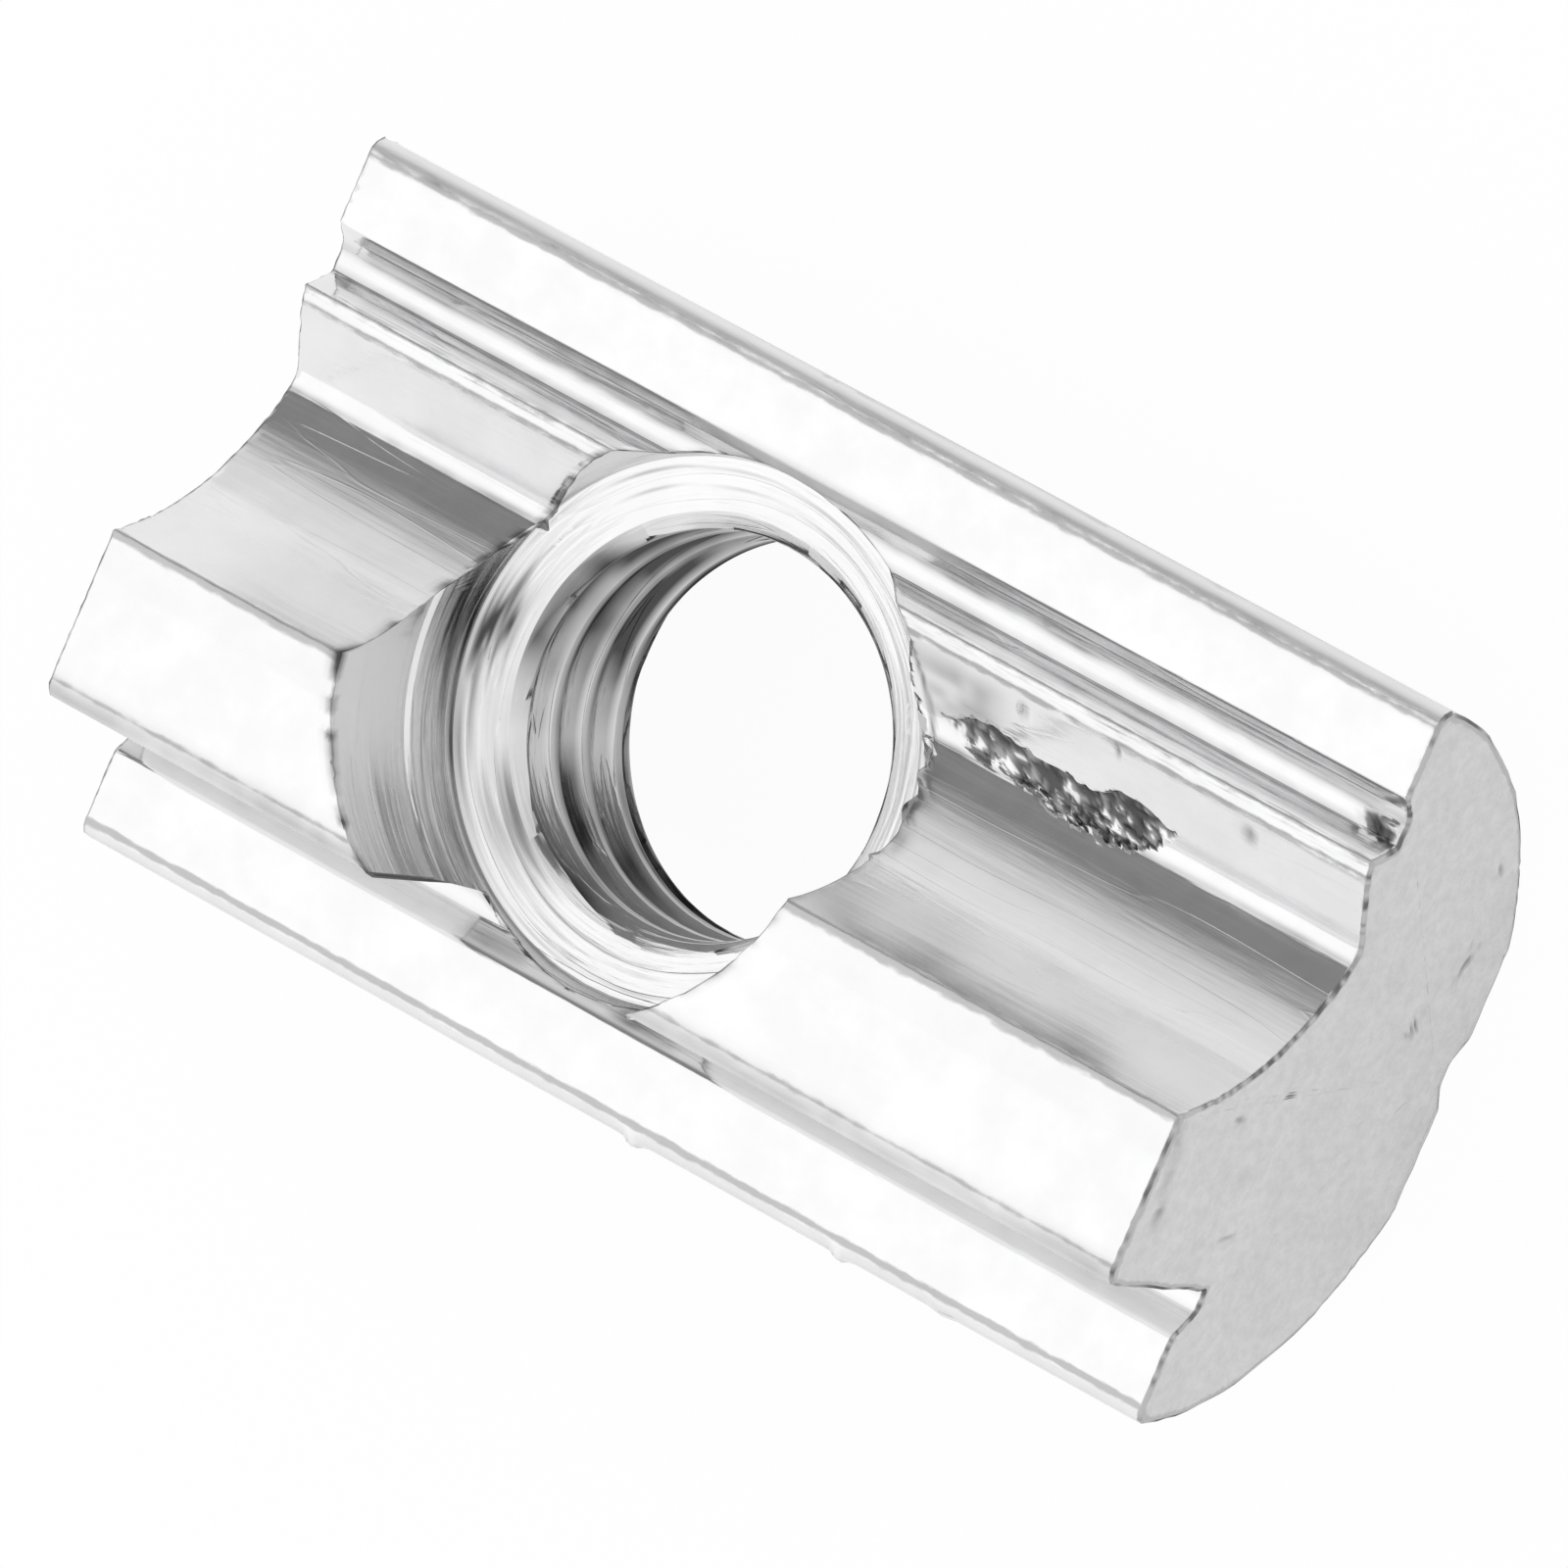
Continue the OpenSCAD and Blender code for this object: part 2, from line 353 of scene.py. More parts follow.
# Lines and waves of the drawn faces, what the outer corners add, and patches of the darker places
DRAWN_WAVES = [(0.0035, 0.33, 9, 11), (0.002, 0.11, 6, 12), (0.007, 1.9, 2.6, 13)]
CORNER_WAVES = [(0.008, 0.09, 0.45, 14), (0.007, 0.05, 0.2, 15)]
DARKNESS_PATCHES = [(0.4, 0.4, 1.1, 16), (0.25, 0.2, 0.3, 17)]


def gouge(x, y):
    """Torn metal as (height, darkness, roughness): inside ragged edges the face drops, most by the upper.

    Random grains stand up in the lower part, and what lies deep between them is darkened with painted
    shade.
    """
    ragged = GOUGE_RAGGED * soft_noise(x / 0.11, 0, 21)
    upper = np.interp(x, GOUGE_X, GOUGE_UPPER) + ragged
    lower = np.interp(x, GOUGE_X, GOUGE_LOWER) - ragged
    inside = np.clip(np.minimum(upper - y, y - lower) / GOUGE_EDGE, 0, 1)
    inside *= (x > GOUGE_X[0]) & (x < GOUGE_X[-1])
    share = np.clip((y - lower) / np.maximum(upper - lower, 0.05), 0, 1)
    lumps = layered_noise(x, y, GOUGE_GRAINS)
    height = GOUGE_LUMPS * lumps * (1.2 - share) - GOUGE_DEPTH * (0.2 + share)
    # Painted shade deep in the gouge and between its raised grains
    dark = np.clip(0.22 + 0.85 * share - 0.9 * lumps, 0, 0.92)
    burr = patch(x, y, *BURR)
    burr_shade = burr * np.clip(0.85 - 0.9 * lumps, 0, 1)
    rough = np.maximum(inside, burr) * (np.maximum(dark, burr_shade) > 0.2)
    return inside * height + burr * (0.04 + 0.06 * lumps), np.maximum(inside * dark, burr_shade), rough


def bar_relief(x):
    """How far the drawn faces stand off the plain section, how dark painted shade and grey patches make
    them, and how rough.

    Lengthwise lines and slow waves, a ragged line on the corners, gouge and burr, nicks and bumps.
    """
    y, way = outline_y[:, None], way_round[:, None]
    off = layered_noise(way, x, DRAWN_WAVES) + line_wear[:, None] * layered_noise(way, x, CORNER_WAVES)
    on_top = outline_z[:, None] > RELIEF_FLOOR - 0.5
    torn, dark, rough = gouge(x, y)
    off += on_top * torn
    patchy = 0.75 + layered_noise(way, x, DARKNESS_PATCHES)
    dull_and_shade = np.maximum(line_shade[:, None] * patchy, on_top * dark)
    for nick_x, nick_y, depth, reach in NICKS:
        nick = on_top * patch(x, y, nick_x, nick_y, reach, 2.4 * reach, 2)
        off += depth * nick
        dull_and_shade = np.maximum(dull_and_shade, NICK_SHADE * nick)
    for bump_x, bump_y, height, reach in BUMPS:
        off += on_top * height * patch(x, y, bump_x, bump_y, reach, reach, 2)
    for *place, dark in GREY_PATCHES:
        dull_and_shade = np.maximum(dull_and_shade, dark * on_top * patch(x, y, *place) * patchy)
    return off, np.clip(dull_and_shade, 0, 1), on_top * rough


# Where the hole's rim crosses the section: the two outline points where its circle just touches a line
rim_reach = hole_radius(outline_z) - np.abs(outline_y)
touching = np.sort(np.argsort(np.abs(rim_reach))[:4])
top_lines = np.arange(touching[0], touching[1] + 1)
back_lines = np.arange(touching[2], touching[3] + 1)
edge_away = np.sqrt(np.maximum(hole_radius(outline_z) ** 2 - outline_y ** 2, 0))
edge_away[touching] = 0
between = (rim_reach < 0) & ~np.isin(np.arange(len(outline)), touching)
edge_away[between] = 0

# Rows along the bar on each side of the hole: shares of the way from the hole's rim to the end's round
END_ROUND = 0.07
near_rows = np.r_[0, np.linspace(0.006, 0.6, 66)]
right_rows = np.r_[near_rows, 0.6 + 0.4 * (1 - (1 - np.linspace(0, 1, 24)[1:]) ** 1.6)]
left_rows = np.r_[0, np.linspace(0.008, 1, 41)]

# Flakes that hang over the rim at the low side: a smooth lens, and ragged ones beside it
LENS_TURN, LENS_SPREAD, LENS_HANG, LENS_WIDTH = 59, 13, 0.40, 0.36
FLAKE_REACH, FLAKE_HANG, FLAKE_LIFT = 0.16, 0.20, 0.16
# Faces that the mouth cuts lie above this, and the low part of its rim is near this y and below this z
TOP_FACES = RELIEF_FLOOR - 0.3
LOW_MIDDLE, LOW_REACH, LOW_TOP = 0.9, 1.9, 6.6
# Usual and greatest depth of the rim's chips, and height of its burrs
CHIP_DEPTH, DEEPEST_CHIP, BURR_HEIGHT = 0.05, 0.08, 0.07
# Reach of the ragged line of painted shade along the rim
RIM_LINE = 0.12
# Rubbed lip of the relief, next to the mouth: x, y, reach along and across; and how matt it is
LIP_RUB, LIP_MATT = (-0.8, 4.78, 2.6, 0.2), 1.6
# Painted shadow below the lens: turn and spread in degrees, and reach from the rim
FLAKE_SHADOW_TURN, FLAKE_SHADOW_SPREAD, FLAKE_SHADOW_REACH = 81, 9, 0.28
# Ragged edge of the sawn ends
END_EDGE = [(0.022, 0.11, 1, 41), (0.014, 0.5, 1, 42)]


def rim_height(turn, low):
    """How far the hole's rim stands off the faces: mostly a small chip, with burrs where it is low."""
    chips = 0.04 * soft_noise(turn * 9, 0, 31) + 0.045 * soft_noise(turn * 37, 0, 32)
    burrs = BURR_HEIGHT * np.maximum(soft_noise(turn * 45, 3, 33), -0.2)
    return np.maximum(chips - CHIP_DEPTH, -DEEPEST_CHIP) + low * burrs


def rim_shade(turn):
    """Painted shade along the hole's rim: ragged spots, most on the ridge's side and none on the smooth
    lens.
    """
    far = 0.5 - 0.5 * np.cos(turn - np.radians(LENS_TURN))
    return np.clip(0.5 + 0.9 * soft_noise(turn * 41, 0, 36), 0, 1) * far ** 0.5


def rim_marks(side, turn, away, lens, dull_and_shade):
    """Painted shade at a distance from the rim: a shadow below the lens, a dark line along the lens's
    outline, and the ragged line along the rim.
    """
    flake_shadow = (side > 0) * np.exp(-((np.degrees(turn) - FLAKE_SHADOW_TURN) / FLAKE_SHADOW_SPREAD) ** 2)
    flake_shadow = flake_shadow * np.exp(-(away / FLAKE_SHADOW_REACH) ** 2)
    dull_and_shade = np.maximum(dull_and_shade, flake_shadow * (0.7 + 0.4 * soft_noise(turn * 30, away / 0.1, 37)))
    lens_width = LENS_WIDTH * lens
    dull_and_shade = np.where(away < lens_width, 0, dull_and_shade)
    # Painted shadow along the lens's outer edge
    dull_and_shade = np.maximum(dull_and_shade, 0.75 * (lens_width > 0) * np.exp(-((away - lens_width) / 0.06) ** 2))
    on_rim = (rim_reach > 0)[:, None] * rim_shade(turn)
    return np.maximum(dull_and_shade, on_rim * np.exp(-(away / RIM_LINE) ** 2))


def bar_half(side, rows):
    """One side of the bar: points, wear, darkness (mostly painted shade) and mattness, as lines by rows out
    to the end.
    """
    start = HOLE_X + side * edge_away
    turn = np.arctan2(side * edge_away, outline_y) % (2 * np.pi)
    cut_face = (outline_z > TOP_FACES) & (side > 0)
    low = cut_face & (outline_z < LOW_TOP) & (np.abs(outline_y - LOW_MIDDLE) < LOW_REACH)
    flake = low * np.maximum(soft_noise(turn * 17, 5, 34) + 0.25, 0)
    lens = cut_face * np.maximum(1 - ((np.degrees(turn) - LENS_TURN) / LENS_SPREAD) ** 2, 0)
    start -= side * (FLAKE_HANG * flake * (lens < 0.3) + LENS_HANG * lens)
    end = side * (HALF_LENGTH - END_ROUND)
    x = start[:, None] + (end - start)[:, None] * rows
    off, dull_and_shade, rough = bar_relief(x)
    away = np.abs(x - start[:, None])
    lift = np.exp(-(away / FLAKE_REACH) ** 2) * soft_noise(turn[:, None] * 30, away / 0.09, 35)
    off += FLAKE_LIFT * flake[:, None] * lift
    rim = np.where(rim_reach > 0, rim_height(turn, low) * outward[:, 1], 0)
    rim[touching] = 0
    off[:, 0] = 0
    ends = np.radians([30, 60, 90])
    x = np.c_[x, np.tile(end + side * END_ROUND * np.sin(ends), (len(outline), 1))]
    ragged = layered_noise(way_round, 0, END_EDGE)
    off = np.c_[off, off[:, -1:] + ragged[:, None] - END_ROUND * (1 - np.cos(ends))]
    y = outline_y[:, None] + outward[:, :1] * off
    z = outline_z[:, None] + outward[:, 1:] * off
    z[:, 0] += rim
    dull_and_shade = rim_marks(side, turn[:, None], away, lens[:, None], dull_and_shade)
    end_spots = np.clip(0.25 + 0.9 * soft_noise(way_round / 0.09, 0, 43), 0, 0.8)
    dull_and_shade = np.c_[dull_and_shade, np.repeat(np.maximum(dull_and_shade[:, -1], end_spots)[:, None], 3, axis=1)]
    wear = np.repeat(line_wear[:, None], x.shape[1], axis=1)
    wear[:, :-3] = np.maximum(wear[:, :-3], rough)
    wear[:, -3:] = 1
    wear[:, 0] = np.maximum(wear[:, 0], rim_reach > 0)
    rubbed = (outline_z > RELIEF_FLOOR)[:, None] * patch(x, outline_y[:, None], *LIP_RUB)
    matt_and_sheen = np.maximum(line_matt[:, None], LIP_MATT * rubbed)
    return np.stack([x, y, z], axis=-1), wear, dull_and_shade, matt_and_sheen


def quads(rows, columns, closed_rows):
    """Faces of a vertex grid, each from four neighbours; the last row joins the first if closed."""
    row, column = np.meshgrid(np.arange(rows - (not closed_rows)), np.arange(columns - 1), indexing="ij")
    after = (row + 1) % rows
    corners = [row * columns + column, after * columns + column, after * columns + column + 1]
    return np.stack([*corners, row * columns + column + 1], axis=-1).reshape(-1, 4)


# Each block of the mesh: points, faces, grain, and how much it is sawn, bored, worn, darkened and matt.
# The darkening is painted shade with some darker marks, and on the mouth wall matt also whitens as painted
# sheen
GRAIN_STRETCH = 14
blocks = []


def add_block(points, faces, grain, sawn=0, bored=0, worn=0, dull_and_shade=0, matt_and_sheen=0):
    """Keeps vertices with their faces; grain runs slowly along tool marks and quickly across them."""
    flat = points.reshape(-1, 3)
    finish = [np.broadcast_to(np.ravel(value), len(flat)) for value in (sawn, bored, worn, dull_and_shade, matt_and_sheen)]
    blocks.append((flat, faces, grain.reshape(-1, 3), np.stack(finish, axis=-1)))


bar_sides = {}
for side, rows in ((1, right_rows), (-1, left_rows)):
    points, wear, dull_and_shade, matt_and_sheen = bar_half(side, rows)
    grain = points * [1 / GRAIN_STRETCH, 1, 1]
    add_block(points, quads(len(outline), points.shape[1], True), grain, worn=wear, dull_and_shade=dull_and_shade, matt_and_sheen=matt_and_sheen)
    bar_sides[side] = points


# Nut body: the sawn ends.
# The bar is parted with a shear or saw, so both ends are flat, matt and finely pitted, with a few deeper
# pits and a smeared strip beside the ridge at the near end.
END_CENTRE = (0.1, 0.68)
END_ROWS = 30
END_GRIT = 0.010
END_WAVES = [(1, 0.5, 0.5, 51), (0.6, 0.16, 0.16, 52)]
# Pits and flecks: y, z, depth, reach along the tear and across it, and its turn in degrees
PITS = [
    (0.91, 2.04, 0.05, 0.22, 0.07, 165), (0.72, 2.12, 0.03, 0.10, 0.05, 90),
    (2.10, 1.20, 0.04, 0.34, 0.04, 155), (2.45, 1.35, 0.03, 0.12, 0.04, 150),
    (3.70, 1.46, 0.04, 0.12, 0.05, 160), (-2.98, 5.19, 0.04, 0.12, 0.05, 160),
    (-1.92, 5.46, 0.04, 0.08, 0.05, 150), (-0.52, 5.17, 0.04, 0.14, 0.04, 170),
    (-0.93, 6.44, 0.04, 0.10, 0.05, 150), (-0.71, 2.42, 0.03, 0.12, 0.04, 165),
]
# Smeared strip on the near end: where it starts and stops, as y and z, and its reach
SHEAR_STRIP = ((-0.95, 8.4), (-3.3, 7.6), 0.12)


def near_pits(y, z):
    """Depth and painted shade of the pits: each is a long bell, turned to its own tear."""
    depth, dark = 0 * y, 0 * y
    for pit_y, pit_z, pit_depth, along, across, turn in PITS:
        turn = np.radians(turn)
        u = (y - pit_y) * np.cos(turn) + (z - pit_z) * np.sin(turn)
        v = (z - pit_z) * np.cos(turn) - (y - pit_y) * np.sin(turn)
        bell = np.exp(-((u / along) ** 2) - (v / across) ** 2)
        depth, dark = depth + pit_depth * bell, np.maximum(dark, 0.55 * bell)
    return depth, dark


def end_shade_and_smear(points):
    """Darkness of an end: painted shade in its pits, and a smeared strip between two points, streaked along
    its way.
    """
    y, z = points[..., 1], points[..., 2]
    (start_y, start_z), (stop_y, stop_z), reach = SHEAR_STRIP
    run = np.array([stop_y - start_y, stop_z - start_z])
    length = np.hypot(*run)
    along = ((y - start_y) * run[0] + (z - start_z) * run[1]) / length
    across = ((y - start_y) * run[1] - (z - start_z) * run[0]) / length
    strip = np.exp(-(across / reach) ** 2) * (0.30 + 0.25 * soft_noise(across / 0.05, along / 0.6, 53))
    strip *= np.clip(along / 0.2, 0, 1) * np.clip((length - along) / 0.5, 0, 1)
    return np.clip(np.maximum(near_pits(y, z)[1], strip), 0, 1)


def sawn_end(side):
    """Rings that shrink from the bar's end round to a centre from which the whole section can be seen."""
    rim = bar_sides[side][:, -1]
    share = np.linspace(1, 0, END_ROWS) ** 0.8
    y = END_CENTRE[0] + (rim[:, 1:2] - END_CENTRE[0]) * share
    z = END_CENTRE[1] + (rim[:, 2:3] - END_CENTRE[1]) * share
    depth = END_GRIT * (layered_noise(y, z, END_WAVES) - 1.2)
    depth -= near_pits(y, z)[0]
    depth[:, 0] = 0
    return np.stack([side * (HALF_LENGTH + depth), y, z], axis=-1)


for side in (1, -1):
    points = sawn_end(side)
    wear = np.zeros(points.shape[:2])
    wear[:, 0] = 1
    faces = quads(len(outline), END_ROWS, True)
    add_block(points, faces, points * [0, 1, 1], sawn=1, worn=wear, dull_and_shade=end_shade_and_smear(points))


# Nut body: the drilled mouth.
# The mouth is drilled wider than the neck, so it cuts through both of the neck's walls. It has a fine
# turning step, tapers a little to its foot and ends in the flat, ringed cone of the drill's point.
RING_RADIUS = 3.68
RING_HEIGHT = np.interp(RING_RADIUS, [THREAD_CREST, FOOT_RADIUS], [THREAD_HIGH, MOUTH_FOOT])
# A turning step just under the taper's start: heights of its two edges, and its width
STEP_HIGH, STEP_LOW, STEP_WIDTH = 6.08, 6.02, 0.07
upper = np.r_[0, 0.015, 0.035, 0.06, 0.15, 0.3, 0.5, 0.75, 1]
taper = np.linspace(0, 1, 15)[1:]
cone = np.linspace(0, 1, 19)[1:]


def hole_rim(lines):
    """Points round a rim, out along the bar's right side and back along its left, and their turns."""
    points = np.vstack([bar_sides[1][lines, 0], bar_sides[-1][lines[-2:0:-1], 0]])
    return points, np.arctan2(points[:, 0] - HOLE_X, points[:, 1]) % (2 * np.pi)


rim_points, rim_turn = hole_rim(top_lines)
# The ring below keeps its turn at the touching points and the neck walls' feet, and is evener between them
neck_feet = [(NECK_SIDE, RELIEF_FLOOR), (-NECK_SIDE, RELIEF_FLOOR)]
last_line = len(top_lines) - 1
fixed = [0, *(np.argmin(np.hypot(*(outline[top_lines] - foot).T)) for foot in neck_feet), last_line]
fixed += [2 * last_line - place for place in fixed[2::-1]]
turn_round = np.r_[rim_turn, 2 * np.pi]
height_round = np.r_[rim_points[:, 2], rim_points[0, 2]]
effort = np.r_[0, np.cumsum(np.abs(np.diff(turn_round)) + 0.02 * np.abs(np.diff(height_round)) + 0.002)]
ring_turn = np.interp(effort, effort[fixed], turn_round[fixed])[:-1]


def on_wall(turn, height, radius):
    """Points of the hole's wall at a turn from +Y towards +X, a height and a radius."""
    return np.stack([HOLE_X + radius * np.sin(turn), radius * np.cos(turn), height], axis=-1)


# Radius at which the grain of the hole's wall is laid out
GRAIN_RADIUS = 4


def wall_grain(turn, way):
    """Tool marks run round the hole, so the grain is slow round it and quick along its profile."""
    reach = GRAIN_RADIUS / GRAIN_STRETCH
    return np.stack([np.sin(turn) * reach, np.cos(turn) * reach, way], axis=-1)


# Turning rings in the cone: radius halfway round, width and darkness; and how far aside, at what turn
CONE_RINGS = [(4.40, 0.02, 0.4), (4.10, 0.015, 0.3)]
RINGS_ASIDE, RINGS_TURN = 0.12, 65
# Painted dark bands of the wall and cone, for shade and dark reflections in the hole: way, half width, turn
# and spread in degrees, and darkness.
# The way is the height on the wall, and goes on below the foot by the fall in radius.
PAINTED_WALL_BANDS = [
    (5.72, 0.09, 250, 22, 0.25), (5.55, 0.42, 268, 13, 0.85), (5.84, 0.13, 219, 14, 0.75),
    (6.32, 0.12, 275, 14, 0.45), (5.01, 0.05, 241, 50, 0.85), (4.87, 0.08, 238, 26, 0.55),
    (4.69, 0.06, 248, 20, 0.65), (4.62, 0.32, 269, 9, 0.85), (4.20, 0.18, 221, 15, 0.70),
    (4.38, 0.03, 200, 22, 0.5), (4.30, 0.02, 200, 22, 0.4), (4.52, 0.24, 222, 14, 0.38),
    (4.35, 0.35, 246, 18, 0.12),
]
STREAK_RAGGED = 9


def wall_rings_and_shade(turn, height, radius):
    """Darkness of the wall and cone: turning rings all round, and flat-topped bands of painted shade and
    reflection that fade with the turn.
    """
    way = np.where(height < MOUTH_FOOT, MOUTH_FOOT - FOOT_RADIUS + radius, height)
    aside = radius + RINGS_ASIDE * np.cos(turn - np.radians(RINGS_TURN))
    rings = [dark * np.exp(-((aside - place) / wide) ** 2) for place, wide, dark in CONE_RINGS]
    dull_and_shade = np.max(rings, axis=0) * (height < MOUTH_FOOT - 0.01)
    ragged = STREAK_RAGGED * soft_noise(turn * 2, way / 0.045, 66)
    for place, wide, middle, spread, dark in PAINTED_WALL_BANDS:
        apart = (np.degrees(turn) - middle + 180) % 360 - 180 + ragged
        dull_and_shade = np.maximum(dull_and_shade, dark * np.exp(-((way - place) / wide) ** 4 - (apart / spread) ** 2))
    return np.clip(dull_and_shade * (1 + 0.5 * soft_noise(turn * 3, way * 16, 64)), 0, 1)


def mouth_wall():
    """Columns from each point of the rim down to the ring, kept to the creases at taper, step and foot."""
    top = rim_points[:, 2]
    at_taper, at_foot = np.minimum(top, MOUTH_TAPER), np.minimum(top, MOUTH_FOOT)
    at_high, at_low = np.minimum(top, STEP_HIGH), np.minimum(top, STEP_LOW)
    height = np.vstack([
        top + (at_taper - top) * upper[:, None],
        at_high,
        at_low,
        at_low + (at_foot - at_low) * taper[:, None],
        at_foot + (RING_HEIGHT - at_foot) * cone[:, None],
    ])
    turn = rim_turn + (ring_turn - rim_turn) * (top - height) / (top - RING_HEIGHT)
    radius = hole_radius(height) + STEP_WIDTH * np.clip((height - STEP_LOW) / (STEP_HIGH - STEP_LOW), 0, 1)
    marks = 0.004 * soft_noise(height / 0.11, turn * 1.2, 61)
    marks = marks + 0.0015 * soft_noise(radius / 0.05, turn * 1.5, 62)
    fade = np.clip((top - height) / 0.05, 0, 1) * np.clip((height - RING_HEIGHT) / 0.05, 0, 1)
    points = on_wall(turn, height, radius + marks * fade)
    points[0] = rim_points
    return points, wall_grain(turn, height + radius), wall_rings_and_shade(turn, height, radius)


points, grain, dull_and_shade = mouth_wall()
wear = np.zeros(points.shape[:2])
wear[:3] = 1
# The rim's painted shade runs on down the wall's top rows
dull_and_shade[:4] = np.maximum(dull_and_shade[:4], rim_shade(rim_turn) * np.array([1, 1, 1, 0.7])[:, None])
# Painted sheen: above the turning step the mouth wall is whitened past the zinc's colour in mottled
# patches, and is matt
mottle = 0.55 + 0.35 * soft_noise(points[..., 2] / 0.35, rim_turn * 3, 68)
matt_and_sheen = np.clip((points[..., 2] - STEP_HIGH) / 0.05, 0, 1) * mottle
points, grain = points.transpose(1, 0, 2), grain.transpose(1, 0, 2)
add_block(points, quads(*points.shape[:2], True), grain, bored=1, worn=wear.T, dull_and_shade=dull_and_shade.T, matt_and_sheen=matt_and_sheen.T)


# Nut body: the thread.
# A right-hand tapped thread. Its crests are the drilled hole, its roots are cut into the wall, and it runs
# out in the drill cone above and in the countersink below.
THREAD_PITCH = 1.06
THREAD_PHASE = 2.49
THREAD_ROOT = 3.974
RUN_OUT_TOP, RUN_OUT_BACK = 0.25, 0.4
# Rows of one turn: way down from a crest's upper edge in pitches, and share of full depth
THREAD_WAY = [0, 0.08, 0.17, 0.25, 0.33, 0.41, 0.49, 0.565, 0.625, 0.69, 0.77, 0.85, 0.93]
THREAD_CUT = [0.02, 0, 0, 0.02, 0.27, 0.51, 0.76, 1, 1, 0.98, 0.76, 0.51, 0.25]
BACK_MARGIN = 0.12
# The thread is greyer than the faces with painted shade, most at some turns: darkness at each turn in
# degrees
THREAD_SHADE_TURNS = [0, 110, 150, 185, 205, 219, 232, 245, 258, 270, 295, 318, 335, 350]
THREAD_SHADES = [0.10, 0.05, 0.1, 0.40, 0.80, 0.80, 0.64, 0.48, 0.58, 0.82, 0.97, 0.96, 0.60, 0.20]
# Flanks and roots take more painted shade the deeper they lie: heights, and what they add
ROOT_HEIGHTS, ROOT_SHADES = [1.6, 4.2], [1.2, 0.45]
# Crests take less painted shade at their upper edge, a painted highlight: way down from it in pitches, and
# share of darkness
CREST_WAY, CREST_SHARES = [0, 0.08, 0.17, 0.93], [0.45, 0.7, 0.95, 1]
# The first band under the cone takes less painted shade than the rest: share of the darkness at each turn
BAND_FOOT = THREAD_HIGH - 0.2
BAND_TURNS, BAND_SHARES = [225, 245, 262, 272, 300, 312, 335], [0.8, 0.35, 0.75, 1, 0.95, 0.45, 0.35]

back_rim, back_turn = hole_rim(back_lines[::-1])


def thread_shade(way, cut, height):
    """Painted shade in the thread: a level at each turn, less on the crests, dark roots, and streaks along
    it.
    """
    degrees = np.degrees(ring_turn)
    dull_and_shade = np.interp(degrees, THREAD_SHADE_TURNS, THREAD_SHADES, period=360) + 0 * height
    root = cut ** 3 * np.interp(height, ROOT_HEIGHTS, ROOT_SHADES) * np.clip(dull_and_shade / 0.4, 0, 1)
    crest = np.interp(way % 1, CREST_WAY, CREST_SHARES, period=1)
    band = np.interp(degrees, BAND_TURNS, BAND_SHARES, period=360)
    dull_and_shade = dull_and_shade * np.where(height < BAND_FOOT, crest, band) + root
    dull_and_shade *= 1 + 0.45 * soft_noise(way * 11, ring_turn * 2, 69)
    round_way = way + ring_turn / (2 * np.pi)
    dull_and_shade *= 1 + 0.15 * soft_noise(8 * np.cos(ring_turn), round_way * 2.2 + 8 * np.sin(ring_turn), 65)
    return np.clip(dull_and_shade * np.clip(0.6 + (RING_HEIGHT - height) / 0.1, 0, 1), 0, 1)


def thread_wall():
    """Rows follow the helix: height falls with turn and row, and is held between the two rings."""
    per_turn = len(THREAD_WAY)
    floor = np.interp(ring_turn, back_turn, back_rim[:, 2], period=2 * np.pi) + BACK_MARGIN
    turns_up = np.ceil((RING_HEIGHT + THREAD_PITCH - THREAD_PHASE) / THREAD_PITCH + 0.75)
    start = THREAD_PHASE + THREAD_PITCH * (turns_up + 0.75)
    turns = int(np.ceil((start - floor.min()) / THREAD_PITCH)) + 1
    row = np.arange(turns * per_turn)
    way = row // per_turn + np.array(THREAD_WAY)[row % per_turn]
    cut = np.array(THREAD_CUT)[row % per_turn]
    height = start - THREAD_PITCH * (way[:, None] - 0.125 + ring_turn / (2 * np.pi))
    height = np.clip(height, floor, RING_HEIGHT)
    plain = hole_radius(height)
    rough = 0.006 * soft_noise(way[:, None] * 9, ring_turn * 2.5, 63)
    groove = THREAD_CREST + (THREAD_ROOT - THREAD_CREST) * cut[:, None] + rough
    full = np.clip((RING_HEIGHT - height) / RUN_OUT_TOP, 0, 1)
    full *= np.clip((height - floor) / RUN_OUT_BACK, 0, 1)
    radius = plain + np.maximum(groove - plain, 0) * full
    points = on_wall(ring_turn, height, radius)
    rows, columns = height.shape
    faces = quads(rows, columns, False)
    first = np.arange(rows - 1)
    under, under_next = (np.minimum(first + k + per_turn, rows - 1) * columns for k in (0, 1))
    last = first * columns + columns - 1
    seam = np.stack([last, last + columns, under_next, under], axis=-1)
    grain = wall_grain(ring_turn + 0 * height, height + radius)
    return points, np.vstack([faces, seam]), grain, thread_shade(way[:, None], cut[:, None], height)


points, faces, grain, dull_and_shade = thread_wall()
add_block(points, faces, grain, bored=1, dull_and_shade=dull_and_shade)
bottom_ring = points[-1]


# Nut body: the back countersink.
# A plain cone opens the hole through the back, joined ring to ring, because the back has fewer lines.


